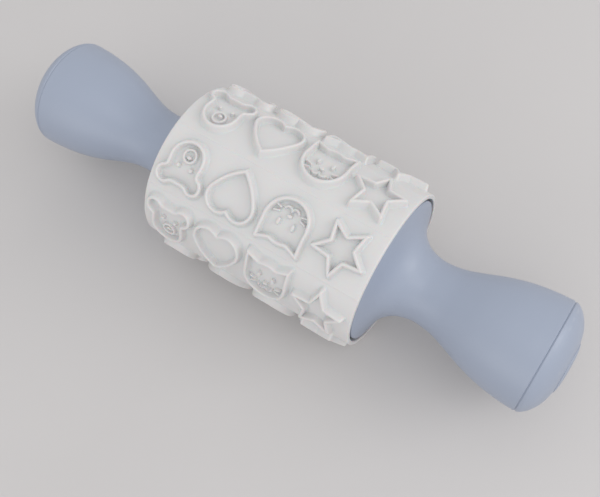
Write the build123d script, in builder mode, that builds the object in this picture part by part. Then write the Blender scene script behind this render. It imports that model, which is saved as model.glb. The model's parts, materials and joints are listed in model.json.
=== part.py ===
from build123d import *
from math import acos, atan2, cos, hypot, pi, sin
import os

# A two-handed embossing roller. X runs along the axle, Z is up, and the origin is the
# middle of the drum on the axle's centre line. All lengths are millimetres.

# ---------------------------------------------------------------- drum
drum_length = 86.4
drum_radius = 30.0
drum_wall = 1.6
stop_rib_height = 1.4
stop_rib_width = 1.6

# ---------------------------------------------------------------- raised pattern
row_count = 8
column_pitch = 20.7
pattern_shift = -0.3
shape_rise = 0.4
ridge_height = 2.5
ridge_width = 1.5
detail_height = 1.3
detail_width = 0.9
ridge_root = 0.8

heart_width = 19.0
heart_height = 18.1
heart_lobe_radius = 5.6
heart_side_radius = 24.0

star_radius = 11.0
star_inner_radius = 5.0
star_tip_rounding = 0.7

cat_face_radius = 8.4
cat_chin = -8.8
cat_ear_tip = (8.5, 9.4)
cat_ear_foot = (3.2, 7.3)
cat_eye_spacing = 5.6
cat_eye_height = 0.4
cat_eye_width = 1.2
cat_eye_length = 2.4
cat_nose_height = -2.6
cat_nose_width = 1.8

bear_face_radius = 6.6
bear_chin = -9.1
bear_brow_width = 13.0
bear_brow_height = 7.2
bear_ear_radius = 3.4
bear_ear_centre = (5.9, 5.4)
bear_muzzle_radius = 2.8
bear_muzzle_height = -3.9
bear_nose_radius = 0.8
bear_eye_spacing = 5.6
bear_eye_height = 0.2
bear_eye_radius = 0.7

# ---------------------------------------------------------------- handle
mouth_gap = 1.0
skirt_depth = 4.0
handle_wall = 2.2
boss_wall = 3.4
neck_radius = 11.8
neck_station = 16.0
grip_radius = 20.9
grip_length = 58.6
# Points between flange, neck and seam, as shares of the length and of the change in radius.
flare_start_direction = (0.15, -1)
flare_shares = ((0.19, 0.41), (0.50, 0.11))
grip_shares = ((0.28, 0.27), (0.66, 0.83))
flare_cavity_depth = 7.5
screw_seat_station = 24.0
key_flat = 2.2

# ---------------------------------------------------------------- cap and disc
cap_height = 7.7
cap_wall = 2.2
cap_spigot_length = 5.0
cap_shoulder_station = 3.4
cap_shoulder_radius = 18.9
cap_brow_station = 6.2
cap_brow_radius = 15.0
cap_end_directions = ((1, -0.12), (0.25, -1))
cap_hollow_depth = 2.5
seam_chamfer = 0.25
disc_radius = 9.3
disc_thickness = 2.0
disc_proud = 0.35
disc_crown = 0.7
disc_flat_radius = 4.5
disc_rounding = 0.25
disc_stem_radius = 3.0
disc_stem_length = 5.0

# ---------------------------------------------------------------- axle and what runs on it
axle_radius = 4.0
spigot_radius = 3.0
shoulder_station = 6.0
spigot_setback = 0.5
tapped_depth = 14.0
clip_groove_depth = 0.7
clip_thickness = 1.0
clip_width = 2.8
clip_opening = 4.0
washer_thickness = 1.2
washer_radius = 8.0
bush_wall = 2.0
bush_flange_thickness = 1.5
clip_gap = 0.4
hub_boss_length = 14.0
hub_boss_wall = 3.5
hub_web_thickness = 2.5
hub_rim_width = 10.0
hub_rim_thickness = 2.0
hub_hole_count = 6
hub_hole_radius = 4.5
spacer_clearance = 0.95
spacer_wall = 2.0

# ---------------------------------------------------------------- screws
screw_radius = 2.0
screw_length = 12.0
screw_head_radius = 4.0
screw_head_height = 3.0
screw_head_rounding = 0.5
screw_socket_size = 2.5
screw_socket_depth = 1.6
screw_washer_radius = 6.0
screw_washer_thickness = 1.0

# ---------------------------------------------------------------- fits
running_fit = 0.05
assembly_fit = 0.05
end_play = 0.1

# ---------------------------------------------------------------- places worked out from the sizes
drum_half = drum_length / 2
bore_radius = drum_radius - drum_wall
crest_radius = drum_radius + ridge_height
flange_radius = bore_radius - mouth_gap
seam_x = drum_half + grip_length
cap_top_x = seam_x + cap_height
boss_face_x = drum_half - skirt_depth
shoulder_x = drum_half + shoulder_station
screw_seat_x = drum_half + screw_seat_station
bush_radius = axle_radius + running_fit + bush_wall
bush_flange_height = washer_radius - axle_radius - running_fit
hub_boss_radius = bush_radius + hub_boss_wall
hub_web_height = bore_radius - assembly_fit - hub_rim_thickness / 2
hub_hole_circle = (hub_boss_radius + bore_radius - hub_rim_thickness) / 2
spacer_radius = bush_radius + spacer_clearance + spacer_wall
# From the handle's boss inwards: clip, thrust washer, bush flange, hub disc.
clip_x = boss_face_x - clip_gap - clip_thickness
thrust_x = clip_x - washer_thickness
bush_flange_x = thrust_x - end_play
hub_outer_x = bush_flange_x - bush_flange_thickness
hub_inner_x = hub_outer_x - hub_boss_length
hub_offset = (hub_outer_x + hub_inner_x) / 2
grip_cavity_radius = grip_radius - handle_wall
cap_spigot_radius = grip_cavity_radius - assembly_fit

# A rectangle placed by the middle of its lower side.
on_its_foot = (Align.CENTER, Align.MIN)

os.makedirs("parts", exist_ok=True)


def blend(start, end, shares):
    """Points from start to end, each a share of the run and of the remaining change in radius."""
    return [
        (start[0] + along * (end[0] - start[0]), end[1] + left * (start[1] - end[1]))
        for along, left in shares
    ]


def save(piece, name):
    """Label a finished piece and write it to its own file."""
    piece.label = name
    export_step(piece, f"parts/{name}.step")


# ================================================================ outlines of the raised shapes
# Each is drawn flat about its own centre, with +Y towards the ears, the lobes or the star's tip.

# The side of the heart is an arc that leaves the lobe smoothly and ends at the tip. Its centre lies
# on the far side of the lobe's centre, where the two distances to it are known.
lobe_x = heart_width / 2 - heart_lobe_radius
lobe_y = heart_height / 2 - heart_lobe_radius
heart_tip_y = -heart_height / 2
tip_distance = hypot(lobe_x, lobe_y - heart_tip_y)
to_centre = heart_side_radius - heart_lobe_radius
turn_from_tip = acos(
    (tip_distance**2 + to_centre**2 - heart_side_radius**2) / (2 * tip_distance * to_centre)
)
centre_angle = atan2(heart_tip_y - lobe_y, -lobe_x) - turn_from_tip
touch_x = lobe_x - heart_lobe_radius * cos(centre_angle)
touch_y = lobe_y - heart_lobe_radius * sin(centre_angle)

with BuildSketch() as heart:
    with Locations((lobe_x, lobe_y), (-lobe_x, lobe_y)):
        Circle(heart_lobe_radius)
    with BuildLine():
        RadiusArc((0, heart_tip_y), (touch_x, touch_y), -heart_side_radius)
        RadiusArc((0, heart_tip_y), (-touch_x, touch_y), heart_side_radius)
        Polyline((touch_x, touch_y), (lobe_x, lobe_y), (-lobe_x, lobe_y), (-touch_x, touch_y))
    make_face()

star_corners = [
    (
        (star_inner_radius if corner % 2 else star_radius) * sin(corner * pi / 5),
        (star_inner_radius if corner % 2 else star_radius) * cos(corner * pi / 5),
    )
    for corner in range(10)
]
star_drop = star_radius * (1 - cos(pi / 5)) / 2

with BuildSketch() as star:
    with BuildLine():
        Polyline(*[(x, y - star_drop) for x, y in star_corners], close=True)
    make_face()
    star_tips = star.vertices().sort_by(lambda corner: hypot(corner.X, corner.Y + star_drop))[5:]
    fillet(star_tips, star_tip_rounding)

cat_middle_y = cat_chin + cat_face_radius
with BuildSketch() as cat:
    with Locations((0, cat_middle_y)):
        Circle(cat_face_radius)
    for side in (-1, 1):
        with BuildLine():
            Polyline(
                (side * cat_ear_tip[0], cat_ear_tip[1]),
                (side * cat_face_radius, cat_middle_y),
                (0, cat_middle_y),
                (side * cat_ear_foot[0], cat_ear_foot[1]),
                close=True,
            )
        make_face()

bear_middle_y = bear_chin + bear_face_radius
with BuildSketch() as bear:
    with Locations((0, bear_middle_y)):
        Circle(bear_face_radius)
        Rectangle(bear_brow_width, bear_brow_height - bear_middle_y, align=on_its_foot)
    with Locations(bear_ear_centre, (-bear_ear_centre[0], bear_ear_centre[1])):
        Circle(bear_ear_radius)

mouth_y = cat_nose_height - cat_nose_width
with BuildSketch() as cat_details:
    with Locations((-cat_nose_width / 2, mouth_y), (cat_nose_width / 2, mouth_y)):
        Circle((cat_nose_width + detail_width) / 2)
    with Locations((-cat_nose_width / 2, mouth_y), (cat_nose_width / 2, mouth_y)):
        Circle((cat_nose_width - detail_width) / 2, mode=Mode.SUBTRACT)
    with Locations((0, mouth_y)):
        Rectangle(4 * cat_nose_width, cat_nose_width, align=on_its_foot, mode=Mode.SUBTRACT)
    with Locations((0, cat_nose_height)):
        Ellipse(cat_nose_width / 2, cat_nose_width / 3)
    with Locations((-cat_eye_spacing / 2, cat_eye_height), (cat_eye_spacing / 2, cat_eye_height)):
        Ellipse(cat_eye_width / 2, cat_eye_length / 2)

with BuildSketch() as bear_details:
    with Locations((0, bear_muzzle_height)):
        Circle(bear_muzzle_radius)
        Circle(bear_muzzle_radius - detail_width, mode=Mode.SUBTRACT)
    with Locations((0, bear_muzzle_height + bear_nose_radius)):
        Circle(bear_nose_radius)
    with Locations((-bear_eye_spacing / 2, bear_eye_height), (bear_eye_spacing / 2, bear_eye_height)):
        Circle(bear_eye_radius)

# The same order of shapes in every row, from the left end to the right.
rings = []
for outline in (bear, heart, cat, star):
    with BuildSketch() as ring:
        add(outline.sketch)
        offset(outline.sketch, amount=-ridge_width, mode=Mode.SUBTRACT)
    rings.append(ring.sketch)
details = (bear_details.sketch, None, cat_details.sketch, None)


def standing_row(row, shapes, height):
    """A row of flat shapes as walls square to the row's middle, cut off at a height on the drum."""
    turn = (row - 0.5) * 360 / row_count
    half_turn = 180 if row % 2 else 0
    rise = -shape_rise if row % 2 else shape_rise
    base = Plane.XY.rotated((turn, 0, 0)).offset(bore_radius * cos(pi / row_count))
    with BuildPart() as walls:
        for column, shape in enumerate(shapes):
            if shape:
                place = (column - (len(shapes) - 1) / 2) * column_pitch + pattern_shift
                with BuildSketch(base):
                    with Locations(Location((place, rise, 0), (0, 0, half_turn))):
                        add(shape)
        extrude(amount=crest_radius)
        Cylinder(drum_radius + height, drum_length, rotation=(0, 90, 0), mode=Mode.INTERSECT)
        Cylinder(drum_radius - ridge_root, drum_length, rotation=(0, 90, 0), mode=Mode.SUBTRACT)
    return walls.solids()


# ================================================================ drum
with BuildPart() as pattern_drum:
    Cylinder(drum_radius, drum_length, rotation=(0, 90, 0))
    Cylinder(bore_radius, drum_length, rotation=(0, 90, 0), mode=Mode.SUBTRACT)
    add([wall for row in range(row_count) for wall in standing_row(row, rings, ridge_height)])
    add([mark for row in range(row_count) for mark in standing_row(row, details, detail_height)])
    # Ribs in the bore that the hub discs are pushed up against.
    for side in (-1, 1):
        rib_x = side * (hub_offset - hub_rim_width / 2 - stop_rib_width / 2)
        with BuildSketch(Plane.YZ.offset(rib_x - stop_rib_width / 2)):
            Circle(bore_radius + drum_wall / 2)
            Circle(bore_radius - stop_rib_height, mode=Mode.SUBTRACT)
        extrude(amount=stop_rib_width)
save(pattern_drum.part, "pattern_drum")

# ================================================================ right-hand pieces, mirrored later
right_pieces = {}

with BuildPart() as hub_disc:
    with BuildSketch(Plane.XZ):
        with Locations((hub_offset, hub_web_height)):
            Rectangle(hub_rim_width, hub_rim_thickness)
        with Locations((hub_offset, 0)):
            Rectangle(hub_web_thickness, hub_web_height, align=on_its_foot)
            Rectangle(hub_boss_length, hub_boss_radius, align=on_its_foot)
            Rectangle(hub_boss_length, bush_radius + assembly_fit, align=on_its_foot, mode=Mode.SUBTRACT)
    revolve(axis=Axis.X)
    with BuildSketch(Plane.YZ.offset(hub_offset - hub_web_thickness)):
        with PolarLocations(hub_hole_circle, hub_hole_count):
            Circle(hub_hole_radius)
    extrude(amount=2 * hub_web_thickness, mode=Mode.SUBTRACT)
right_pieces["hub_disc"] = hub_disc

with BuildPart() as bush:
    with BuildSketch(Plane.XZ):
        with Locations((hub_inner_x, axle_radius + running_fit)):
            Rectangle(hub_boss_length, bush_wall, align=(Align.MIN, Align.MIN))
        with Locations((hub_outer_x, axle_radius + running_fit)):
            Rectangle(bush_flange_thickness, bush_flange_height, align=(Align.MIN, Align.MIN))
    revolve(axis=Axis.X)
right_pieces["bush"] = bush

with BuildPart() as thrust_washer:
    with BuildSketch(Plane.YZ.offset(thrust_x)):
        Circle(washer_radius)
        Circle(axle_radius + assembly_fit, mode=Mode.SUBTRACT)
    extrude(amount=washer_thickness)
right_pieces["thrust_washer"] = thrust_washer

with BuildPart() as retaining_clip:
    with BuildSketch(Plane.YZ.offset(clip_x)):
        clip_inner_radius = axle_radius - clip_groove_depth + assembly_fit
        Circle(clip_inner_radius + clip_width)
        Circle(clip_inner_radius, mode=Mode.SUBTRACT)
        Rectangle(clip_opening, 2 * axle_radius + clip_width, align=on_its_foot, mode=Mode.SUBTRACT)
    extrude(amount=clip_thickness)
right_pieces["retaining_clip"] = retaining_clip

# ---------------------------------------------------------------- handle
rim = (drum_half, flange_radius)
neck = (drum_half + neck_station, neck_radius)
seam = (seam_x, grip_radius)
flare_points = [rim, *blend(rim, neck, flare_shares), neck]
grip_points = [
    (neck[0] + along * (seam[0] - neck[0]), neck[1] + gain * (seam[1] - neck[1]))
    for along, gain in grip_shares
]
grip_points = [neck, *grip_points, seam]

with BuildPart() as handle:
    with BuildSketch(Plane.XZ):
        with BuildLine():
            Polyline((seam_x, grip_radius), (seam_x, 0), (boss_face_x, 0), (boss_face_x, flange_radius), rim)
            Spline(*flare_points, tangents=(flare_start_direction, (1, 0)))
            Spline(*grip_points, tangents=((1, 0), (1, 0)))
        make_face()
    revolve(axis=Axis.X)
    # The hollow behind the flange, a wall's thickness inside the flare.
    boss_radius = axle_radius + boss_wall
    with BuildSketch(Plane.XZ):
        with BuildLine():
            inset_points = [(x - handle_wall, r - handle_wall) for x, r in flare_points]
            Spline(*inset_points, tangents=(flare_start_direction, (1, 0)))
            Polyline(
                inset_points[-1],
                (inset_points[-1][0], boss_radius),
                (boss_face_x, boss_radius),
                (boss_face_x, inset_points[0][1]),
                inset_points[0],
            )
        make_face()
        with Locations((drum_half + flare_cavity_depth, 0)):
            Rectangle(grip_length, flange_radius, align=(Align.MIN, Align.MIN), mode=Mode.SUBTRACT)
    revolve(axis=Axis.X, mode=Mode.SUBTRACT)
    # The hollow grip, open at the seam, down to the seat of the screw washer.
    grip_outline = [(x, r - handle_wall) for x, r in grip_points]
    with BuildSketch(Plane.XZ):
        with BuildLine():
            Spline(*grip_outline, tangents=((1, 0), (1, 0)))
            Polyline(grip_outline[-1], (seam_x, 0), (neck[0], 0), grip_outline[0])
        make_face()
        with Locations((screw_seat_x, 0)):
            Rectangle(grip_length, grip_radius, align=(Align.MAX, Align.MIN), mode=Mode.SUBTRACT)
    revolve(axis=Axis.X, mode=Mode.SUBTRACT)
    # A straight mouth for the cap's spigot.
    with BuildSketch(Plane.YZ.offset(seam_x)):
        Circle(grip_cavity_radius)
    extrude(amount=-(cap_spigot_length + assembly_fit), mode=Mode.SUBTRACT)
    # The stepped bore that takes the axle, with a flat that stops the handle turning on it.
    with BuildSketch(Plane.YZ.offset(boss_face_x)):
        Circle(axle_radius + assembly_fit)
    extrude(amount=shoulder_x - boss_face_x, mode=Mode.SUBTRACT)
    with BuildSketch(Plane.YZ.offset(shoulder_x)):
        Circle(spigot_radius + assembly_fit)
        with Locations((0, key_flat + assembly_fit)):
            Rectangle(2 * axle_radius, axle_radius, align=on_its_foot, mode=Mode.SUBTRACT)
    extrude(amount=screw_seat_x - shoulder_x, mode=Mode.SUBTRACT)
    seam_edge = handle.edges().filter_by(GeomType.CIRCLE).group_by(Axis.X)[-1].sort_by(SortBy.RADIUS)[-1]
    chamfer(seam_edge, seam_chamfer)
right_pieces["handle"] = handle

# ---------------------------------------------------------------- end cap and its disc
disc_seat_x = cap_top_x - disc_thickness + disc_proud
crown_radius = disc_radius + assembly_fit

with BuildPart() as end_cap:
    with BuildSketch(Plane.XZ):
        with BuildLine():
            Polyline((cap_top_x, crown_radius), (cap_top_x, 0), (seam_x, 0), (seam_x, grip_radius))
            Spline(
                (seam_x, grip_radius),
                (seam_x + cap_shoulder_station, cap_shoulder_radius),
                (seam_x + cap_brow_station, cap_brow_radius),
                (cap_top_x, crown_radius),
                tangents=cap_end_directions,
            )
        make_face()
    revolve(axis=Axis.X)
    with BuildSketch(Plane.YZ.offset(seam_x - cap_spigot_length)):
        Circle(cap_spigot_radius)
    extrude(amount=cap_spigot_length)
    with BuildSketch(Plane.YZ.offset(seam_x - cap_spigot_length)):
        Circle(cap_spigot_radius - cap_wall)
    extrude(amount=cap_spigot_length + cap_hollow_depth, mode=Mode.SUBTRACT)
    with BuildSketch(Plane.YZ.offset(disc_seat_x)):
        Circle(disc_radius + assembly_fit)
    extrude(amount=disc_thickness, mode=Mode.SUBTRACT)
    with BuildSketch(Plane.YZ.offset(seam_x)):
        Circle(disc_stem_radius + assembly_fit)
    extrude(amount=cap_height, mode=Mode.SUBTRACT)
    seam_edge = end_cap.edges().filter_by(GeomType.CIRCLE).sort_by(SortBy.RADIUS)[-1]
    chamfer(seam_edge, seam_chamfer)
right_pieces["end_cap"] = end_cap

disc_rim_x = cap_top_x + disc_proud
disc_face_x = disc_rim_x + disc_crown

with BuildPart() as cap_disc:
    with BuildSketch(Plane.XZ) as disc_profile:
        with BuildLine():
            Polyline(
                (disc_face_x, disc_flat_radius),
                (disc_face_x, 0),
                (disc_seat_x, 0),
                (disc_seat_x, disc_radius),
                (disc_rim_x, disc_radius),
            )
            TangentArc((disc_face_x, disc_flat_radius), (disc_rim_x, disc_radius), tangent=(0, 1))
        make_face()
        rim_corner = disc_profile.vertices().group_by(Axis.Y)[-1].sort_by(Axis.X)[-1]
        fillet(rim_corner, disc_rounding)
    revolve(axis=Axis.X)
    with BuildSketch(Plane.YZ.offset(disc_seat_x)):
        Circle(disc_stem_radius)
    extrude(amount=-disc_stem_length)
right_pieces["cap_disc"] = cap_disc

# ---------------------------------------------------------------- screw and its washer
screw_head_x = screw_seat_x + screw_washer_thickness

with BuildPart() as screw_washer:
    with BuildSketch(Plane.YZ.offset(screw_seat_x)):
        Circle(screw_washer_radius)
        Circle(screw_radius + assembly_fit, mode=Mode.SUBTRACT)
    extrude(amount=screw_washer_thickness)
right_pieces["screw_washer"] = screw_washer

with BuildPart() as axle_screw:
    with BuildSketch(Plane.YZ.offset(screw_head_x)):
        Circle(screw_head_radius)
    extrude(amount=screw_head_height)
    fillet(axle_screw.edges().group_by(Axis.X)[-1], screw_head_rounding)
    with BuildSketch(Plane.YZ.offset(screw_head_x)):
        Circle(screw_radius)
    extrude(amount=-screw_length)
    with BuildSketch(Plane.YZ.offset(screw_head_x + screw_head_height)):
        RegularPolygon(screw_socket_size / 2, 6, major_radius=False)
    extrude(amount=-screw_socket_depth, mode=Mode.SUBTRACT)
right_pieces["axle_screw"] = axle_screw

for name, piece in right_pieces.items():
    with BuildPart() as left_piece:
        mirror(piece.part, about=Plane.YZ)
    save(piece.part, f"{name}_right")
    save(left_piece.part, f"{name}_left")

# ================================================================ axle and spacer tube
spigot_end_x = screw_seat_x - spigot_setback

with BuildPart() as axle:
    Cylinder(axle_radius, 2 * shoulder_x, rotation=(0, 90, 0))
    for side in (-1, 1):
        with BuildSketch(Plane.YZ.offset(side * shoulder_x)):
            Circle(spigot_radius)
            with Locations((0, key_flat)):
                Rectangle(2 * axle_radius, axle_radius, align=on_its_foot, mode=Mode.SUBTRACT)
        extrude(amount=side * (spigot_end_x - shoulder_x))
        with BuildSketch(Plane.YZ.offset(side * clip_x)):
            Circle(axle_radius)
            Circle(axle_radius - clip_groove_depth, mode=Mode.SUBTRACT)
        extrude(amount=side * (clip_thickness + end_play), mode=Mode.SUBTRACT)
        with BuildSketch(Plane.YZ.offset(side * spigot_end_x)):
            Circle(screw_radius + assembly_fit)
        extrude(amount=-side * tapped_depth, mode=Mode.SUBTRACT)
save(axle.part, "axle")

with BuildPart() as spacer_tube:
    Cylinder(spacer_radius, 2 * hub_inner_x, rotation=(0, 90, 0))
    Cylinder(spacer_radius - spacer_wall, 2 * hub_inner_x, rotation=(0, 90, 0), mode=Mode.SUBTRACT)
save(spacer_tube.part, "spacer_tube")
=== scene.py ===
# %% [markdown]
# # A pattern roller, from its frame to its finish
# The roller has a white moulded drum that turns between two blue-grey handles. The frame holds the
# pieces at their real size. This lesson gives the pieces that show their fine shape and finish: the
# walls of the raised pattern, the lathe-turned curves of the handles, and two kinds of plastic.

# %% Load the frame
import json
import math

import bmesh
import bpy
import numpy as np
from mathutils import Matrix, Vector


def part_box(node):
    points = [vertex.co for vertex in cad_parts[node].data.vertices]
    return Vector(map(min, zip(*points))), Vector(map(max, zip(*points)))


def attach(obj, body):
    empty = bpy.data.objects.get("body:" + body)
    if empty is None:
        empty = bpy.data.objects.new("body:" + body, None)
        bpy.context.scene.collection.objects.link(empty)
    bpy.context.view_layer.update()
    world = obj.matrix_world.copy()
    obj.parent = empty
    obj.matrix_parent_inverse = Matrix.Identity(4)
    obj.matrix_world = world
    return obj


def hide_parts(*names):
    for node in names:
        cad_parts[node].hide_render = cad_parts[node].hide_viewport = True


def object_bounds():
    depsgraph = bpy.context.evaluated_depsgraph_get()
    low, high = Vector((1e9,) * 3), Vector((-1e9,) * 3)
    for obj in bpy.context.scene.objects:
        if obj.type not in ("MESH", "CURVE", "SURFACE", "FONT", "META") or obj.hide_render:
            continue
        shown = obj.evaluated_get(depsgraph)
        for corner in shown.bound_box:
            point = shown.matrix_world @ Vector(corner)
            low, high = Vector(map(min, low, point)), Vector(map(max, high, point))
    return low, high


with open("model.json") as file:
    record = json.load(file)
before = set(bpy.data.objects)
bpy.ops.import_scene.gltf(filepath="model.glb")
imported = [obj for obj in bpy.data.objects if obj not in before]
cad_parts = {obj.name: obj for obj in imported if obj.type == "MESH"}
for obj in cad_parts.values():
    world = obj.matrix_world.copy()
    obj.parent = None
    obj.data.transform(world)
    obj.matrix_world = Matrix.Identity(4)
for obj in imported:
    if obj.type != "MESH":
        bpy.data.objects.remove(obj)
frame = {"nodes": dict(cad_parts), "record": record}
cad_box = [list(corner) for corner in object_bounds()]
print("frame box", cad_box)

# %% [markdown]
# ## The camera
# The roller is seen from high up and a little to the right, with its right end nearer. A camera can be
# given a rotation matrix, or angles. Angles are easier to read: the direction it looks from, as a turn
# about the vertical and a height, then a roll about its own line of sight.

# %% Camera
camera_azimuth = math.radians(47.32)
camera_elevation = math.radians(67.92)
camera_roll = math.radians(-15.46)
camera_distance = 0.3236
camera_aim = np.array([0.01045, -0.0096, 0.0])
camera_lens = 54.27

back = np.array([
    math.sin(camera_azimuth) * math.cos(camera_elevation),
    -math.cos(camera_azimuth) * math.cos(camera_elevation),
    math.sin(camera_elevation),
])
level_right = np.array([math.cos(camera_azimuth), math.sin(camera_azimuth), 0.0])
level_up = np.cross(back, level_right)
view_right = level_right * math.cos(camera_roll) + level_up * math.sin(camera_roll)
view_up = np.cross(back, view_right)
camera_place = camera_aim + back * camera_distance


def placed(obj, right, up, backward, place):
    """Links an object to the scene, with its own X, Y and Z directions and its place."""
    matrix = np.eye(4)
    matrix[:3, 0], matrix[:3, 1], matrix[:3, 2], matrix[:3, 3] = right, up, backward, place
    bpy.context.scene.collection.objects.link(obj)
    obj.matrix_world = Matrix(matrix.tolist())
    return obj


camera = bpy.data.objects.new("camera", bpy.data.cameras.new("camera"))
camera.data.lens = camera_lens
camera.data.sensor_width = 36.0
camera.data.clip_start = 0.01
placed(camera, view_right, view_up, back, camera_place)
bpy.context.scene.camera = camera
print("camera at", camera_place.round(4))

# %% [markdown]
# ## Meshes from arrays
# Every shape below is a grid of points, worked out for the whole surface at once. One helper turns a
# grid into a mesh: each cell of the grid becomes a face. A grid may close on itself along either
# direction, and a row that shrinks to one point becomes a pole when doubles are merged. The normals are
# then worked out again, and edges that turn sharply are marked, so that the rest shades smoothly.

# %% Grid to mesh
sharp_angle = math.radians(38)
merge_distance = 1e-7


def grid_faces(rows, columns, close_rows, close_columns, start=0):
    """Corner numbers of the cells of a grid: each cell joins a point, its right, upper right and upper."""
    row = np.arange(rows if close_rows else rows - 1)[:, None]
    column = np.arange(columns if close_columns else columns - 1)[None, :]
    next_row, next_column = (row + 1) % rows, (column + 1) % columns
    corners = [row * columns + column, row * columns + next_column,
               next_row * columns + next_column, next_row * columns + column]
    return start + np.stack(corners, axis=-1).reshape(-1, 4)


def mesh_object(name, points, faces):
    """A mesh object of these points and four-cornered faces, cleaned, facing outwards and smooth."""
    mesh = bpy.data.meshes.new(name)
    mesh.vertices.add(len(points))
    mesh.vertices.foreach_set("co", np.asarray(points, np.float32).ravel())
    mesh.loops.add(faces.size)
    mesh.loops.foreach_set("vertex_index", faces.astype(np.int32).ravel())
    mesh.polygons.add(len(faces))
    mesh.polygons.foreach_set("loop_start", np.arange(0, faces.size, 4, dtype=np.int32))
    mesh.update(calc_edges=True)
    work = bmesh.new()
    work.from_mesh(mesh)
    bmesh.ops.remove_doubles(work, verts=work.verts, dist=merge_distance)
    bmesh.ops.dissolve_degenerate(work, edges=work.edges, dist=merge_distance)
    bmesh.ops.delete(work, geom=[edge for edge in work.edges if edge.is_wire], context="EDGES")
    bmesh.ops.recalc_face_normals(work, faces=work.faces)
    open_edges = sum(not edge.is_manifold for edge in work.edges)
    work.to_mesh(mesh)
    work.free()
    mesh.polygons.foreach_set("use_smooth", np.ones(len(mesh.polygons), bool))
    mesh.set_sharp_from_angle(angle=sharp_angle)
    obj = bpy.data.objects.new(name, mesh)
    bpy.context.scene.collection.objects.link(obj)
    print(name, len(mesh.polygons), "faces,", open_edges, "open edges")
    return obj


# %% [markdown]
# ## Turned shapes
# Handles, caps and discs are round about the axle. Blender's Spin tool or a Screw modifier could turn a
# profile, but a formula does it in one line: each point of the profile goes round in a circle. The
# profile itself is a smooth line through a few chosen points, as a maker would bend a spline.

# %% Smooth lines and lathe
round_steps = 160


def smooth_line(points, steps=10):
    """A line through all the points: between each two it is a cubic whose slope at a point is half the
    step from the point before to the point after. The two ends run straight on."""
    p = np.asarray(points, float)
    padded = np.vstack([2 * p[0] - p[1], p, 2 * p[-1] - p[-2]])
    before, here, after, beyond = padded[:-3], padded[1:-2], padded[2:-1], padded[3:]
    t = np.linspace(0, 1, steps, endpoint=False)[None, :, None]
    a, b, c, d = (q[:, None, :] for q in (before, here, after, beyond))
    curve = 0.5 * (2 * b + (c - a) * t + (2 * a - 5 * b + 4 * c - d) * t**2 + (3 * b - a - 3 * c + d) * t**3)
    return np.vstack([curve.reshape(-1, 2), p[-1:]])


def arc_points(centre, radius, start, end, count=5):
    """Points along an arc about a centre, from the angle start to the angle end, both in degrees."""
    angle = np.radians(np.linspace(start, end, count))
    return np.column_stack([centre[0] + radius * np.cos(angle), centre[1] + radius * np.sin(angle)])


def lathe(name, section, side):
    """Turns a closed section about the axle. A point (x, r) goes to (side x, r sin a, r cos a)."""
    section = np.asarray(section, float)
    angle = np.linspace(0, 2 * math.pi, round_steps, endpoint=False)
    x = np.repeat(side * section[:, 0][:, None], round_steps, axis=1)
    y = section[:, 1][:, None] * np.sin(angle)
    z = section[:, 1][:, None] * np.cos(angle)
    points = np.stack([x, y, z], axis=-1).reshape(-1, 3)
    return mesh_object(name, points, grid_faces(len(section), round_steps, True, True))


# %% [markdown]
# ## Plastics
# The handles are matte: the mould's surface was spark-eroded, so the plastic has a very fine even grain.
# The drum was moulded against polished steel, so it is smoother and shinier. Both share three effects,
# each a node group used with its own values: fine grain, slow cloudiness in the colour, and edge wear.

# %% Shader node groups


def new_group(name, inputs, outputs):
    """An empty shader node group with named sockets: inputs as (name, default), outputs as (name, type)."""
    group = bpy.data.node_groups.new(name, "ShaderNodeTree")
    for label, default in inputs:
        socket = group.interface.new_socket(label, in_out="INPUT", socket_type="NodeSocketFloat")
        socket.default_value = default
    for label, kind in outputs:
        group.interface.new_socket(label, in_out="OUTPUT", socket_type=kind)
    return group, group.nodes.new("NodeGroupInput"), group.nodes.new("NodeGroupOutput")


def noise_at(tree, scale_socket, detail, roughness):
    """A noise texture on Object coordinates, with its scale taken from a socket."""
    place = tree.nodes.new("ShaderNodeTexCoord")
    noise = tree.nodes.new("ShaderNodeTexNoise")
    noise.inputs["Detail"].default_value = detail
    noise.inputs["Roughness"].default_value = roughness
    tree.links.new(place.outputs["Object"], noise.inputs["Vector"])
    tree.links.new(scale_socket, noise.inputs["Scale"])
    return noise


def centred(tree, value_socket, amount_socket):
    """(value - 0.5) times amount: a noise made to swing either side of nothing."""
    shift = tree.nodes.new("ShaderNodeMath")
    shift.operation = "SUBTRACT"
    shift.inputs[1].default_value = 0.5
    scale = tree.nodes.new("ShaderNodeMath")
    scale.operation = "MULTIPLY"
    tree.links.new(value_socket, shift.inputs[0])
    tree.links.new(shift.outputs[0], scale.inputs[0])
    tree.links.new(amount_socket, scale.inputs[1])
    return scale.outputs[0]


grain_group, grain_in, grain_out = new_group(
    "fine_grain", [("Scale", 4000.0), ("Depth", 1.0)], [("Height", "NodeSocketFloat")])
grain_noise = noise_at(grain_group, grain_in.outputs["Scale"], 2.0, 0.6)
grain_group.links.new(
    centred(grain_group, grain_noise.outputs["Fac"], grain_in.outputs["Depth"]), grain_out.inputs["Height"])

cloud_group, cloud_in, cloud_out = new_group(
    "slow_cloud", [("Scale", 30.0), ("Amount", 0.1)], [("Shift", "NodeSocketFloat")])
cloud_noise = noise_at(cloud_group, cloud_in.outputs["Scale"], 3.0, 0.5)
cloud_group.links.new(
    centred(cloud_group, cloud_noise.outputs["Fac"], cloud_in.outputs["Amount"]), cloud_out.inputs["Shift"])

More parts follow.
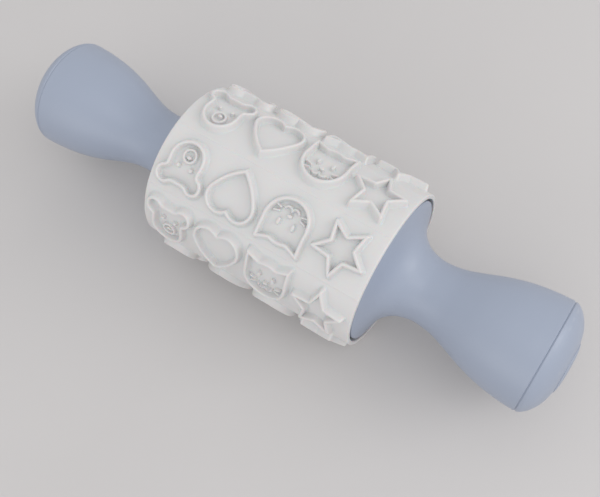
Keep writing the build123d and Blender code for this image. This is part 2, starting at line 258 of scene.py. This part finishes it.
wear_group, wear_in, wear_out = new_group(
    "edge_wear", [("Low", 0.52), ("High", 0.6), ("Speckle", 900.0)], [("Mask", "NodeSocketFloat")])
wear_shape = wear_group.nodes.new("ShaderNodeNewGeometry")
wear_range = wear_group.nodes.new("ShaderNodeMapRange")
wear_group.links.new(wear_shape.outputs["Pointiness"], wear_range.inputs["Value"])
wear_group.links.new(wear_in.outputs["Low"], wear_range.inputs["From Min"])
wear_group.links.new(wear_in.outputs["High"], wear_range.inputs["From Max"])
wear_noise = noise_at(wear_group, wear_in.outputs["Speckle"], 3.0, 0.6)
wear_mix = wear_group.nodes.new("ShaderNodeMath")
wear_mix.operation = "MULTIPLY"
wear_group.links.new(wear_range.outputs["Result"], wear_mix.inputs[0])
wear_group.links.new(wear_noise.outputs["Fac"], wear_mix.inputs[1])
wear_group.links.new(wear_mix.outputs[0], wear_out.inputs["Mask"])

# %% Moulded plastic
millimetre = 0.001
cloud_scale = 35.0
sheen_scale = 90.0
grain_height = 0.05 * millimetre


def group_node(material, group, **values):
    """A copy of a node group in a material, with its own input values."""
    node = material.node_tree.nodes.new("ShaderNodeGroup")
    node.node_tree = group
    for label, value in values.items():
        node.inputs[label].default_value = value
    return node


def moulded_plastic(name, colour, worn_colour, roughness, grain_scale, grain_depth, cloud, sheen_swing,
                    scatter=0.0):
    """A plastic whose colour drifts slowly, whose edges rub lighter and whose surface has a fine grain."""
    material = bpy.data.materials.new(name)
    material.use_nodes = True
    nodes, links = material.node_tree.nodes, material.node_tree.links
    shader = nodes["Principled BSDF"]
    shader.inputs["Subsurface Weight"].default_value = scatter
    shader.inputs["Subsurface Scale"].default_value = 2 * millimetre

    clouds = group_node(material, cloud_group, Scale=cloud_scale, Amount=cloud)
    drift = nodes.new("ShaderNodeMath")
    drift.operation = "ADD"
    drift.inputs[1].default_value = 1.0
    links.new(clouds.outputs["Shift"], drift.inputs[0])
    tint = nodes.new("ShaderNodeMix")
    tint.data_type = "RGBA"
    tint.inputs["A"].default_value = (*colour, 1)
    tint.inputs["B"].default_value = (*worn_colour, 1)
    wear = group_node(material, wear_group)
    links.new(wear.outputs["Mask"], tint.inputs["Factor"])
    shade = nodes.new("ShaderNodeVectorMath")
    shade.operation = "SCALE"
    links.new(tint.outputs["Result"], shade.inputs[0])
    links.new(drift.outputs[0], shade.inputs["Scale"])
    links.new(shade.outputs["Vector"], shader.inputs["Base Color"])

    patches = group_node(material, cloud_group, Scale=sheen_scale, Amount=sheen_swing)
    gloss = nodes.new("ShaderNodeMath")
    gloss.operation = "ADD"
    gloss.inputs[1].default_value = roughness
    links.new(patches.outputs["Shift"], gloss.inputs[0])
    links.new(gloss.outputs[0], shader.inputs["Roughness"])

    grain = group_node(material, grain_group, Scale=grain_scale, Depth=grain_depth)
    bump = nodes.new("ShaderNodeBump")
    bump.inputs["Distance"].default_value = grain_height
    links.new(grain.outputs["Height"], bump.inputs["Height"])
    links.new(bump.outputs["Normal"], shader.inputs["Normal"])
    return material


handle_plastic = moulded_plastic(
    "handle_plastic", colour=(0.318, 0.360, 0.452), worn_colour=(0.37, 0.41, 0.49), roughness=0.36,
    grain_scale=5200.0, grain_depth=0.8, cloud=0.03, sheen_swing=0.10)
drum_plastic = moulded_plastic(
    "drum_plastic", colour=(0.635, 0.63, 0.63), worn_colour=(0.69, 0.685, 0.685), roughness=0.36,
    grain_scale=3000.0, grain_depth=0.25, cloud=0.03, sheen_swing=0.12, scatter=0.15)

# %% [markdown]
# ## The handles
# Each handle is a hollow trumpet: a flange that fills the drum's mouth, a narrow neck for the fingers and
# a swelling grip. Its section is a closed line: out along the outer curve, back along the inner one. The
# cap, with its domed top, closes the grip, and the small gap between the two shows as a thin dark line.

# %% Handle sizes
drum_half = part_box("pattern_drum")[1].x
boss_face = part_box("handle_right")[0].x
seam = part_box("handle_right")[1].x
flange_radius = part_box("handle_right")[1].z
cap_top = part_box("end_cap_right")[1].x
disc_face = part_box("cap_disc_right")[1].x
disc_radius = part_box("cap_disc_right")[1].z
grip_radius = 20.9 * millimetre
wall = 2.2 * millimetre
axle_bore = 4.1 * millimetre
boss_radius = 7.5 * millimetre
screw_bore = 3.0 * millimetre
boss_end = drum_half + 6 * millimetre
grip_bottom = drum_half + 24 * millimetre
mouth_depth = 5.0 * millimetre
seam_round = 0.35 * millimetre
rim_round = 0.5 * millimetre
cap_fit = 0.1 * millimetre
disc_proud = 0.35 * millimetre
disc_edge = 0.25 * millimetre
disc_flat_radius = 4.4 * millimetre
disc_seat = cap_top - 1.6 * millimetre
stem_radius = 3.0 * millimetre
stem_length = 5.0 * millimetre
print("seam at", round(seam, 5), "cap top at", round(cap_top, 5), "flange radius", round(flange_radius, 5))

# %% Handle section


def at(stations):
    """Points given in millimetres from the drum's end and from the axle, in metres from the middle."""
    return [(drum_half + s * millimetre, r * millimetre) for s, r in stations]


outer_curve = smooth_line(at([
    (0.35, 25.9), (1.5, 21.9), (3, 18.35), (5, 15.75), (8, 13.5), (12, 12.15), (16, 11.8), (22, 12.6),
    (28, 14.5), (36, 17.4), (44, 19.5), (52, 20.6), (57.6, 20.88)]))
outer_curve = np.vstack([outer_curve, [(seam - seam_round, grip_radius)]])


def handle_section():
    """The closed section of a handle: outer curve, lip at the seam, inside of the grip, bore, flange."""
    mouth, mouth_floor = grip_radius - wall, seam - mouth_depth
    flare_end = drum_half + 9 * millimetre
    hollow = [(x, r - wall) for x, r in outer_curve[::-4] if grip_bottom < x < mouth_floor]
    flare = [(x - wall, r - wall) for x, r in outer_curve[::3] if x < flare_end]
    skirt = arc_points((drum_half - rim_round, flange_radius - rim_round), rim_round, 90, 0)
    return np.vstack([
        [(boss_face, flange_radius)], skirt, outer_curve,
        [(seam, grip_radius - seam_round), (seam, mouth), (mouth_floor, mouth)],
        hollow, [(grip_bottom, hollow[-1][1]), (grip_bottom, screw_bore)],
        [(boss_end, screw_bore), (boss_end, axle_bore)],
        [(boss_face, axle_bore), (boss_face, boss_radius), (flare[-1][0], boss_radius)],
        flare[::-1], [(boss_face, flange_radius - wall)],
    ])


def cap_section():
    """The closed section of an end cap: dome, recess for the disc, and the spigot inside the grip."""
    dome = smooth_line([
        (seam + 0.5 * millimetre, grip_radius - 0.08 * millimetre),
        *at([(60.4, 20.25), (62.3, 18.6), (64.1, 16.1), (65.2, 13.8), (65.85, 11.7)]),
        (cap_top - 0.08 * millimetre, disc_radius + 0.55 * millimetre)])
    lip, stem_hole = disc_radius + cap_fit, stem_radius + cap_fit
    spigot, spigot_end = grip_radius - wall - cap_fit, seam - mouth_depth
    return np.vstack([
        [(seam, spigot), (seam, grip_radius - seam_round - cap_fit)], dome,
        [(cap_top, lip + cap_fit), (cap_top - cap_fit, lip), (disc_seat, lip), (disc_seat, stem_hole)],
        [(disc_seat - 2 * millimetre, stem_hole), (seam + 1.2 * millimetre, spigot - wall)],
        [(spigot_end, spigot - wall), (spigot_end, spigot)],
    ])


def disc_section():
    """The closed section of a cap disc: stem, rounded rim, the crown that rises from it, flat middle."""
    rim_face, stem_end = cap_top + disc_proud, disc_seat - stem_length
    rim = arc_points((rim_face - disc_edge, disc_radius - disc_edge), disc_edge, 90, 20)
    crown = smooth_line([
        rim[-1],
        (rim_face + 0.30 * millimetre, 7.8 * millimetre),
        (rim_face + 0.56 * millimetre, 6.2 * millimetre),
        (disc_face - 0.02 * millimetre, disc_flat_radius + 0.5 * millimetre)], steps=4)[1:]
    return np.vstack([
        [(stem_end, 0), (stem_end, stem_radius), (disc_seat, stem_radius), (disc_seat, disc_radius)],
        rim, crown,
        [(disc_face, disc_flat_radius), (disc_face, 0.5 * disc_flat_radius), (disc_face, 0)],
    ])


# %% Make both ends
end_sections = {"handle": handle_section(), "end_cap": cap_section(), "cap_disc": disc_section()}
for side, where in ((1, "right"), (-1, "left")):
    for node, section in end_sections.items():
        piece = lathe(f"{node}_{where}_turned", section, side)
        piece.data.materials.append(handle_plastic)
        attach(piece, "handles")
        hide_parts(f"{node}_{where}")

# %% [markdown]
# ## The drum's wall
# The drum is a thin tube. The mould that made it opened in eight slides, one for each row of shapes, and
# where two slides met they left a fine raised line along the drum. The tube is a grid round the axle, with
# the radius raised a little beside each of those lines.

# %% Drum sizes
row_count = 8
drum_radius = 30.0 * millimetre
bore_radius = 28.4 * millimetre
column_pitch = 20.7 * millimetre
pattern_shift = -0.3 * millimetre
shape_rise = 0.4 * millimetre
end_round = 0.5 * millimetre
mouth_round = 0.2 * millimetre
flash_height = 0.10 * millimetre
flash_width = 0.22 * millimetre

# %% Drum tube


def drum_tube():
    """The tube with mould lines: the radius is the section's, plus a narrow bump at each line's angle."""
    row_angle = 2 * math.pi / row_count
    near = np.array([-4, -2, -1, -0.5, 0, 0.5, 1, 2, 4]) * flash_width / drum_radius
    even = np.linspace(near[-1], row_angle + near[0], 24)[1:-1]
    angle = (np.arange(row_count)[:, None] * row_angle + np.concatenate([near, even])).ravel()
    from_line = (angle + row_angle / 2) % row_angle - row_angle / 2
    flash = flash_height * np.exp(-((from_line * drum_radius / flash_width) ** 2))
    outer = drum_radius - end_round
    section = np.vstack([
        arc_points((-drum_half + end_round, outer), end_round, 180, 90),
        [(x, drum_radius) for x in np.linspace(-0.95, 0.95, 24) * drum_half],
        arc_points((drum_half - end_round, outer), end_round, 90, 0),
        [(drum_half, bore_radius + mouth_round), (drum_half - mouth_round, bore_radius)],
        [(x, bore_radius) for x in np.linspace(0.9, -0.9, 12) * drum_half],
        [(-drum_half + mouth_round, bore_radius), (-drum_half, bore_radius + mouth_round)],
    ])
    outside = section[:, 1] > outer
    radius = section[:, 1][:, None] + flash[None, :] * outside[:, None]
    points = np.stack([
        np.repeat(section[:, 0][:, None], len(angle), axis=1),
        -radius * np.sin(angle), radius * np.cos(angle)], axis=-1)
    faces = grid_faces(len(section), len(angle), True, True)
    return mesh_object("drum_tube", points.reshape(-1, 3), faces)


tube = drum_tube()

# %% [markdown]
# ## The raised shapes
# Each shape is a low wall that follows an outline, 2.5 mm high, with slanted sides so that it leaves the
# mould, a rounded top and a small hollow curve at its foot. A curve with a bevel profile would fold over
# itself in the tight corners, so the wall is made of level lines instead: closed lines at set distances
# inside or outside the outline, each lifted to its own height. First comes the outline of each shape, as
# the place where a distance formula is nought.

# %% Distance formulas


def to_circle(p, centre, radius):
    """How far outside a circle each point is, or below nought inside it."""
    return np.hypot(p[..., 0] - centre[0], p[..., 1] - centre[1]) - radius


def to_box(p, centre, half_size, rounding):
    """The same for a box with rounded corners."""
    beyond = np.abs(p - centre) - np.asarray(half_size) + rounding
    return np.hypot(*np.moveaxis(np.maximum(beyond, 0), -1, 0)) + np.minimum(beyond.max(-1), 0) - rounding


def to_polygon(p, corners):
    """The same for a polygon: the least distance to any side, and below nought where an odd number of
    sides lies to the right."""
    a = np.asarray(corners, float)
    b = np.roll(a, -1, axis=0)
    along = b - a
    offset = p[..., None, :] - a
    share = np.clip((offset * along).sum(-1) / (along**2).sum(-1), 0, 1)
    distance = np.linalg.norm(offset - share[..., None] * along, axis=-1).min(-1)
    straddles = (a[:, 1] > p[..., 1, None]) != (b[:, 1] > p[..., 1, None])
    height = np.where(along[:, 1] == 0, 1, along[:, 1])
    crossing = a[:, 0] + (p[..., 1, None] - a[:, 1]) / height * along[:, 0]
    inside = (straddles & (p[..., 0, None] < crossing)).sum(-1) % 2
    return distance * np.where(inside == 1, -1, 1)


def joined(first, second, softness):
    """The nearer of two distances, with the corner where they meet eased over the softness."""
    mix = np.clip(0.5 + 0.5 * (second - first) / softness, 0, 1)
    return second + (first - second) * mix - softness * mix * (1 - mix)


# %% The four shapes, in millimetres about each one's own centre


def heart(p):
    """Two round lobes, and two long arcs that leave them smoothly and meet at the tip. An arc's centre is
    at its radius from the tip and at the two radii's difference from the lobe, so the three places form a
    triangle whose sides are known, and the law of cosines gives the turn at the lobe."""
    lobe, tip, radius, side_radius = np.array([3.9, 3.45]), np.array([0.0, -9.05]), 5.6, 24.0
    reach, to_centre = np.hypot(*(lobe - tip)), side_radius - radius
    turn = math.acos((reach**2 + to_centre**2 - side_radius**2) / (2 * reach * to_centre))
    angle = math.atan2(*(tip - lobe)[::-1]) - turn
    centre = lobe + to_centre * np.array([math.cos(angle), math.sin(angle)])
    side_end, tip_end = angle + math.pi, math.atan2(*(tip - centre)[::-1])
    side_end -= 2 * math.pi * round((side_end - tip_end) / (2 * math.pi))
    side = arc_points(centre, side_radius, math.degrees(tip_end), math.degrees(side_end), 12)
    mirror = np.array([-1, 1])
    body = to_polygon(p, np.vstack([side, [lobe], [lobe * mirror], (side * mirror)[:0:-1]]))
    lobes = np.minimum(to_circle(p, lobe, radius), to_circle(p, lobe * mirror, radius))
    return joined(lobes, body, softness=0.2)


def star(p):
    """Ten corners in turn far from and near the middle, drawn small and then grown by their rounding."""
    point_reach, valley_reach, middle_y, rounding = 9.7, 4.6, -1.05, 0.45
    corner = np.arange(10)
    reach = np.where(corner % 2, valley_reach, point_reach)
    turn = corner * math.pi / 5
    corners = np.column_stack([reach * np.sin(turn), reach * np.cos(turn) + middle_y])
    return to_polygon(p, corners) - rounding


def folded_over(p):
    """Points of the left half moved to the right one, so that one ear's formula draws both."""
    return np.stack([np.abs(p[..., 0]), p[..., 1]], -1)


def cat(p):
    """A round face with two pointed ears, each a polygon from the brow to the face's widest place."""
    middle, radius, ear_rounding = (0, -0.4), 8.4, 0.3
    brow, ear_tip, cheek = (3.1, 7.0), (8.25, 8.9), (8.1, -0.4)
    ear = to_polygon(folded_over(p), [ear_tip, cheek, middle, brow]) - ear_rounding
    return joined(to_circle(p, middle, radius), ear, softness=0.5)


def bear(p):
    """A round face with a broad brow and two round ears."""
    chin = to_circle(p, (0, -2.5), 6.6)
    brow = to_box(p, (0, 2.35), half_size=(6.5, 4.85), rounding=0.3)
    ear = to_circle(folded_over(p), (5.9, 5.4), 3.4)
    return joined(joined(chin, brow, softness=0.5), ear, softness=0.9)


# %% [markdown]
# The outline is found by starting from a ring round the shape and letting every point slide down the
# distance formula until it reaches nought, then spacing the points evenly and sliding again. Level lines
# follow from it: a point at a set distance lies on the line from the outline's nearest point, and small
# steps keep a line from crossing itself where the wall is tighter than the corner.

# %% Outlines and level lines
outline_count = 300
slide_rounds = 40
slide_share = 0.7
least_slope = 0.25
first_depth = 0.02
crowded_share = 0.3


def slope_of(shape, p, step=1e-3):
    """The direction in which the distance grows, from its change over a small step each way."""
    changes = [shape(p + shift) - shape(p - shift) for shift in np.eye(2) * step]
    return np.stack(changes, -1) / (2 * step)


def evenly(line, count):
    """The same closed line with its points spaced evenly along it, from its first point."""
    closed = np.vstack([line, line[:1]])
    length = np.concatenate([[0], np.cumsum(np.hypot(*np.diff(closed, axis=0).T))])
    at_length = np.linspace(0, length[-1], count, endpoint=False)
    return np.column_stack([np.interp(at_length, length, closed[:, k]) for k in (0, 1)])


def outline_of(shape, count=outline_count, start_radius=13.0, centre=(0.0, 0.0)):
    """The closed line where the distance is nought: each round moves a point most of its distance down
    the slope, which is distance times slope over slope squared."""
    angle = math.pi / 2 + np.linspace(0, 2 * math.pi, count, endpoint=False)
    line = np.array(centre) + start_radius * np.column_stack([np.cos(angle), np.sin(angle)])
    for _ in range(slide_rounds):
        slope = slope_of(shape, line)
        steepness = np.maximum((slope**2).sum(-1), least_slope)[:, None]
        line = evenly(line - slide_share * shape(line)[:, None] * slope / steepness, count)
    return line


def nearest_on(line, p):
    """For each point, the nearest point of a closed line."""
    along = np.roll(line, -1, axis=0) - line
    offset = p[:, None, :] - line[None, :, :]
    share = np.clip((offset * along).sum(-1) / np.maximum((along**2).sum(-1), 1e-12), 0, 1)
    foot = line + share[..., None] * along
    gap = np.linalg.norm(p[:, None, :] - foot, axis=-1)
    return foot[np.arange(len(p)), gap.argmin(1)]


def spread(line, least_gap, rounds=30):
    """Moves points that have crowded into a corner towards the middle of their neighbours, the more the
    closer those are, so that they pass round the corner one after another."""
    for _ in range(rounds):
        before, after = np.roll(line, 1, axis=0), np.roll(line, -1, axis=0)
        gaps = [np.linalg.norm(line - neighbour, axis=-1) for neighbour in (before, after)]
        room = np.minimum(*gaps)
        crowding = np.clip(1 - room / least_gap, 0, 1)[:, None]
        line = line + crowding * (0.5 * (before + after) - line)
    return line


def level_line(outline, start, depth_from, depth_to, step=0.12):
    """Moves a level line from one depth inside the outline to another, below nought being outside."""
    p = start.copy()
    stops = int(abs(depth_to - depth_from) / step) + 2
    for depth in np.linspace(depth_from, depth_to, stops)[1:]:
        for _ in range(3):
            foot = nearest_on(outline, p)
            away = p - foot
            away = away / np.maximum(np.linalg.norm(away, axis=-1), 1e-9)[:, None]
            p = foot + away * abs(depth)
        p = spread(p, crowded_share * np.linalg.norm(outline[1] - outline[0]))
    return p


def level_lines(outline, depths):
    """Level lines at the given depths, worked outwards and inwards from the outline itself."""
    ahead = np.roll(outline, -1, axis=0) - np.roll(outline, 1, axis=0)
    inward = np.column_stack([-ahead[:, 1], ahead[:, 0]])
    inward /= np.linalg.norm(inward, axis=-1)[:, None]
    lines = {}
    for sign in (-1, 1):
        depth = sign * first_depth
        line = outline + depth * inward
        for target in sorted((d for d in depths if d * sign > 0), key=abs):
            line = level_line(outline, line, depth, target)
            depth, lines[target] = target, line
    return np.stack([lines[d] if d in lines else outline for d in depths])


# %% The wall's section: depth inside the outline and height above the drum, in millimetres
wall_section = np.array([
    (-1.05, -0.20), (-0.90, 0.00), (-0.66, 0.08), (-0.50, 0.34), (-0.24, 1.60), (-0.12, 2.05), (0.06, 2.34),
    (0.28, 2.47), (0.50, 2.50), (0.72, 2.47), (0.94, 2.34), (1.12, 2.05), (1.24, 1.60), (1.50, 0.34),
    (1.66, 0.08), (1.90, 0.00), (2.04, -0.20)])

outlines = {shape: outline_of(shape) for shape in (bear, heart, cat, star)}
for shape, line in outlines.items():
    span = line.max(0) - line.min(0)
    print(shape.__name__, "is", span.round(2), "mm, off by", np.abs(shape(line)).max().round(4))

# %% [markdown]
# ## Walls on the drum
# The shapes of a row were cut in one mould slide, so their walls stand square to the middle of the row,
# not to the drum under each point. A point of the flat drawing therefore keeps its place across the row,
# and its height is what the round surface has there. Every second row is turned round, point to point.

# %% From the flat drawing to the drum


def row_point(flat, height, place, row):
    """Puts flat points at a height over the drum: the height above the axle is the square root of
    (drum radius + height) squared less the distance across the row squared; then the row is turned."""
    turn = -1 if row % 2 else 1
    x = place + turn * flat[..., 0] * millimetre
    across = turn * (flat[..., 1] * millimetre + shape_rise)
    up = np.sqrt((drum_radius + height * millimetre) ** 2 - across**2)
    angle = (row - 0.5) * 2 * math.pi / row_count
    y = across * math.cos(angle) - up * math.sin(angle)
    z = across * math.sin(angle) + up * math.cos(angle)
    return np.stack([x, y, z], axis=-1)


def ring_wall(outline, section):
    """Level lines of an outline with their heights: the flat points and heights of a closed wall."""
    lines = level_lines(outline, section[:, 0])
    heights = np.repeat(section[:, 1][:, None], lines.shape[1], axis=1)
    return lines, heights


def folded(line):
    """A closed line pressed flat: each point goes halfway to the one that faces it across the shape."""
    facing = np.roll(line[::-1], 1, axis=0)
    return 0.5 * (line + facing)


def raised_mark(outline, rise):
    """A low solid mark: lines from under its foot to near its middle, closed below and above by
    folding the last line flat."""
    depths = np.array([-0.30, -0.20, -0.08, 0.0, 0.10, 0.26])
    heights = np.array([-0.20, 0.0, 0.12, 0.65, 0.92, 1.0]) * rise
    lines = level_lines(outline, depths)
    lines = np.concatenate([folded(lines[0])[None], lines, folded(lines[-1])[None]])
    heights = np.concatenate([heights[:1], heights, heights[-1:]])
    return lines, np.repeat(heights[:, None], lines.shape[1], axis=1)


# %% [markdown]
# ## Face marks
# Eyes, noses, mouths and whiskers stand lower than the walls round them. A displacement map could press
# them out of the drum, but it would blur marks as small as these, so each is a low solid of its own. A mark
# that has a twin on the other half of the face is drawn once, and mirrored.

# %% Face marks, in millimetres about each shape's centre


def oval(p, centre, half_width, half_height):
    """An oval's distance, taken from a circle in stretched space."""
    stretched = (p - np.asarray(centre)) / np.array([half_width, half_height])
    return (np.hypot(stretched[..., 0], stretched[..., 1]) - 1) * min(half_width, half_height)


def stroke(p, points, half_width):
    """The distance to a bent line of some width."""
    points = np.asarray(points, float)
    a, along = points[:-1], np.diff(points, axis=0)
    offset = p[..., None, :] - a
    share = np.clip((offset * along).sum(-1) / (along**2).sum(-1), 0, 1)
    return np.linalg.norm(offset - share[..., None] * along, axis=-1).min(-1) - half_width


def mirrored(formula, side):
    """A mark's formula as it is for the right half (1), or seen in a mirror for the left half (-1)."""
    return lambda p: formula(p * np.array([side, 1]))


# Each mark: its formula, a point in its middle, and the halves of the face that have it. The mouth and
# whisker values are half the width of those lines.
both, middle_only = (-1, 1), (1,)
mouth, whisker = 0.42, 0.36
marks = {
    "cat": [
        (lambda p: oval(p, (2.8, 0.6), 0.65, 1.25), (2.8, 0.6), both),
        (lambda p: oval(p, (0, -2.4), 0.95, 0.65), (0, -2.4), middle_only),
        (lambda p: stroke(p, arc_points((1.35, -4.0), 1.35, 185, 340, 9), mouth), (1.35, -5.3), both),
        (lambda p: stroke(p, [(4.2, -2.6), (6.0, -2.1)], whisker), (5.1, -2.35), both),
        (lambda p: stroke(p, [(4.2, -4.0), (5.9, -4.4)], whisker), (5.0, -4.2), both),
    ],
    "bear": [
        (lambda p: oval(p, (2.6, 0.7), 0.75, 0.75), (2.6, 0.7), both),
        (lambda p: oval(p, (0, -3.1), 0.9, 0.65), (0, -3.1), middle_only),
    ],
}
muzzle_middle, muzzle_radius = (0, -3.7), 2.8
muzzle_section = np.array([
    (-0.30, -0.2), (-0.20, 0.0), (-0.05, 0.15), (0.02, 0.85), (0.14, 1.12), (0.34, 1.2), (0.62, 1.2),
    (0.82, 1.12), (0.94, 0.85), (1.0, 0.15), (1.15, 0.0), (1.25, -0.2)])
mark_rise = 1.3
mark_count = 40
muzzle_count = 64

# %% Each shape once, then every row
walls = [ring_wall(line, wall_section) for line in outlines.values()]
extras = {kind: [] for kind in marks}
for kind, listed in marks.items():
    for formula, middle, sides in listed:
        for side in sides:
            centre = (side * middle[0], middle[1])
            line = outline_of(mirrored(formula, side), mark_count, start_radius=3.0, centre=centre)
            extras[kind].append(raised_mark(line, mark_rise))
muzzle = outline_of(
    lambda p: to_circle(p, muzzle_middle, muzzle_radius),
    muzzle_count, start_radius=4.0, centre=muzzle_middle)
ring = ring_wall(muzzle, muzzle_section)

places = (np.arange(4) - 1.5) * column_pitch + pattern_shift


def pattern_row(row):
    """All the walls and marks of one row, as one mesh."""
    points, faces, start = [], [], 0

    def lay(lines, heights, place, closed_section):
        nonlocal start
        rows, columns = lines.shape[:2]
        points.append(row_point(lines, heights, place, row).reshape(-1, 3))
        faces.append(grid_faces(rows, columns, closed_section, True, start))
        start += rows * columns

    for place, (lines, heights) in zip(places, walls):
        lay(lines, heights, place, True)
    bear_place, cat_place = places[0], places[2]
    for place, kind in ((bear_place, "bear"), (cat_place, "cat")):
        for lines, heights in extras[kind]:
            lay(lines, heights, place, False)
    lay(*ring, bear_place, True)
    return mesh_object(f"pattern_row_{row + 1}", np.vstack(points), np.vstack(faces))


rows = [pattern_row(row) for row in range(row_count)]

# %% Finish and place the drum's pieces
for piece in (tube, *rows):
    piece.data.materials.append(drum_plastic)
    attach(piece, "drum")
    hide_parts("pattern_drum")

# %% [markdown]
# ## The pieces inside
# The hub discs, bushes, spacer and axle stay as the frame has them. They can't be seen when the roller is
# whole, but each still gets its own finish: plain moulded discs, slippery bearing plastic, and steel.

# %% Inner finishes
inner_plastic = moulded_plastic(
    "inner_plastic", colour=(0.72, 0.72, 0.70), worn_colour=(0.78, 0.78, 0.76), roughness=0.5,
    grain_scale=2500.0, grain_depth=0.5, cloud=0.05, sheen_swing=0.08)
bush_plastic = moulded_plastic(
    "bush_plastic", colour=(0.80, 0.78, 0.70), worn_colour=(0.84, 0.82, 0.76), roughness=0.3,
    grain_scale=2500.0, grain_depth=0.2, cloud=0.04, sheen_swing=0.08)
ring_height = 0.02 * millimetre
polish_swing = 0.08


def turned_steel(name, colour, roughness):
    """Bright steel with the fine rings that a lathe leaves: noise stretched thin along the axle."""
    material = bpy.data.materials.new(name)
    material.use_nodes = True
    nodes, links = material.node_tree.nodes, material.node_tree.links
    shader = nodes["Principled BSDF"]
    shader.inputs["Metallic"].default_value = 1.0
    shader.inputs["Base Color"].default_value = (*colour, 1)
    place = nodes.new("ShaderNodeTexCoord")
    stretch = nodes.new("ShaderNodeMapping")
    stretch.inputs["Scale"].default_value = (9000, 300, 300)
    rings = nodes.new("ShaderNodeTexNoise")
    rings.inputs["Scale"].default_value = 1.0
    links.new(place.outputs["Object"], stretch.inputs["Vector"])
    links.new(stretch.outputs["Vector"], rings.inputs["Vector"])
    polish = nodes.new("ShaderNodeMapRange")
    polish.inputs["To Min"].default_value = roughness - polish_swing
    polish.inputs["To Max"].default_value = roughness + polish_swing
    links.new(rings.outputs["Fac"], polish.inputs["Value"])
    links.new(polish.outputs["Result"], shader.inputs["Roughness"])
    bump = nodes.new("ShaderNodeBump")
    bump.inputs["Distance"].default_value = ring_height
    links.new(rings.outputs["Fac"], bump.inputs["Height"])
    links.new(bump.outputs["Normal"], shader.inputs["Normal"])
    return material


steel = turned_steel("steel", colour=(0.62, 0.62, 0.63), roughness=0.32)
finishes = {
    "drum_plastic": drum_plastic, "handle_plastic": handle_plastic, "inner_plastic": inner_plastic,
    "bush_plastic": bush_plastic, "steel": steel}
for part in frame["record"]["subparts"]:
    mesh = frame["nodes"][part["node"]].data
    mesh.materials.clear()
    mesh.materials.append(finishes[part["material_slot"]])

# %% [markdown]
# ## Floor and light
# The roller lies on a plain pale table. Large soft lights give the gentle shading of a cloudy window: one
# from the right, one overhead, and a wide fill from the lower left. A pale surround lifts the shadows.

# %% Floor
floor_height = cad_box[0][2]
floor_size = 3.0
darker_grey, lighter_grey = (0.53, 0.515, 0.515, 1), (0.57, 0.555, 0.555, 1)


def floor_material():
    """Pale table top: a light grey that drifts slowly, slightly rough."""
    material = bpy.data.materials.new("table_top")
    material.use_nodes = True
    nodes, links = material.node_tree.nodes, material.node_tree.links
    shader = nodes["Principled BSDF"]
    shader.inputs["Roughness"].default_value = 0.75
    place = nodes.new("ShaderNodeTexCoord")
    noise = nodes.new("ShaderNodeTexNoise")
    noise.inputs["Scale"].default_value = 9.0
    noise.inputs["Detail"].default_value = 4.0
    ramp = nodes.new("ShaderNodeMix")
    ramp.data_type = "RGBA"
    ramp.inputs["A"].default_value = darker_grey
    ramp.inputs["B"].default_value = lighter_grey
    links.new(place.outputs["Object"], noise.inputs["Vector"])
    links.new(noise.outputs["Fac"], ramp.inputs["Factor"])
    links.new(ramp.outputs["Result"], shader.inputs["Base Color"])
    return material


floor_mesh = bpy.data.meshes.new("floor")
corners = np.array([(-1, -1), (1, -1), (1, 1), (-1, 1)]) * floor_size / 2
floor_mesh.from_pydata([(x, y, floor_height) for x, y in corners.tolist()], [], [(0, 1, 2, 3)])
floor_mesh.materials.append(floor_material())
floor = bpy.data.objects.new("floor", floor_mesh)
bpy.context.scene.collection.objects.link(floor)

# %% Lights
surround_strength = 0.83


def soft_light(name, direction, distance, size, power, colour):
    """A square light that faces the origin from a direction, with its power in watts."""
    away = np.array(direction, float)
    away /= np.linalg.norm(away)
    side = np.cross([0, 0, 1], away)
    side /= np.linalg.norm(side)
    data = bpy.data.lights.new(name, "AREA")
    data.energy, data.size, data.color = power, size, colour
    return placed(bpy.data.objects.new(name, data), side, np.cross(away, side), away, away * distance)


soft_light(
    "window", 1.2 * view_right + 0.15 * view_up + 0.9 * back,
    distance=0.85, size=0.45, power=1.7, colour=(1.0, 0.99, 0.98))
soft_light(
    "ceiling", back + 0.2 * view_right,
    distance=1.2, size=0.7, power=2.0, colour=(1.0, 0.995, 0.99))
soft_light(
    "fill", -0.9 * view_right - 0.9 * view_up + 0.7 * back,
    distance=1.2, size=0.9, power=2.2, colour=(1.0, 0.99, 0.985))
world = bpy.data.worlds.new("surround")
bpy.context.scene.world = world
world.use_nodes = True
surround = world.node_tree.nodes["Background"]
surround.inputs["Color"].default_value = (1, 1, 1, 1)
surround.inputs["Strength"].default_value = surround_strength
bpy.context.scene.view_settings.view_transform = "Standard"
print("lights", [light.name for light in bpy.data.lights], "surround", surround_strength)
